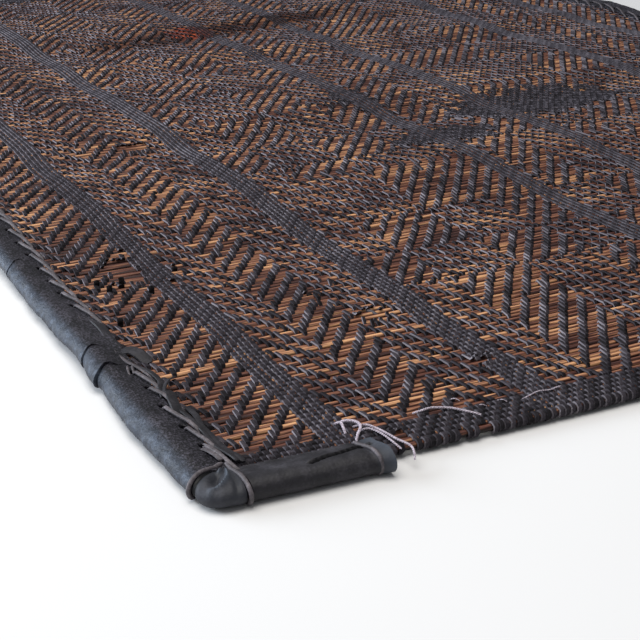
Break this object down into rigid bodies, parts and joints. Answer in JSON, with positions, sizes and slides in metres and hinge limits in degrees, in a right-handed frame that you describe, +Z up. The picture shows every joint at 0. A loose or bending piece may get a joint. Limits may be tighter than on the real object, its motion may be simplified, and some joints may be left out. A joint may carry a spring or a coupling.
{
  "type": "reed mat",
  "caption": "Low flat floor mat of thin parallel reeds held by dark leather thongs in zigzag twill and plain bands, with rolled leather binding and corner caps.",
  "frame": {"origin": "on the floor under the middle of the mat", "axes": "+X along the reeds, +Y along the leather thongs and the bound edges, +Z up"},
  "size_m": [0.7294, 0.9962, 0.0146],
  "materials": {
    "woven_reed": "dry brown reed under dark leather strips",
    "dark_leather": "worn soft sheen, dyed near black",
    "thong_leather": "matt cut thong, paler at its edges",
    "cotton_thread": "soft twisted thread ends"
  },
  "bodies": {
    "root": {"reed_panel": "woven_reed", "binding_left": "dark_leather", "binding_right": "dark_leather", "corner_cap_front_left": "dark_leather", "corner_cap_front_right": "dark_leather", "corner_cap_back_left": "dark_leather", "corner_cap_back_right": "dark_leather", "edge_sleeve_front_left": "dark_leather", "edge_sleeve_front_right": "dark_leather", "edge_sleeve_back_left": "dark_leather", "edge_sleeve_back_right": "dark_leather", "thong_ring_front_left_binding": "thong_leather", "thong_ring_front_left_sleeve": "thong_leather", "thong_ring_front_right_binding": "thong_leather", "thong_ring_front_right_sleeve": "thong_leather", "thong_ring_back_left_binding": "thong_leather", "thong_ring_back_left_sleeve": "thong_leather", "thong_ring_back_right_binding": "thong_leather", "thong_ring_back_right_sleeve": "thong_leather"}
  },
  "joints": []
}
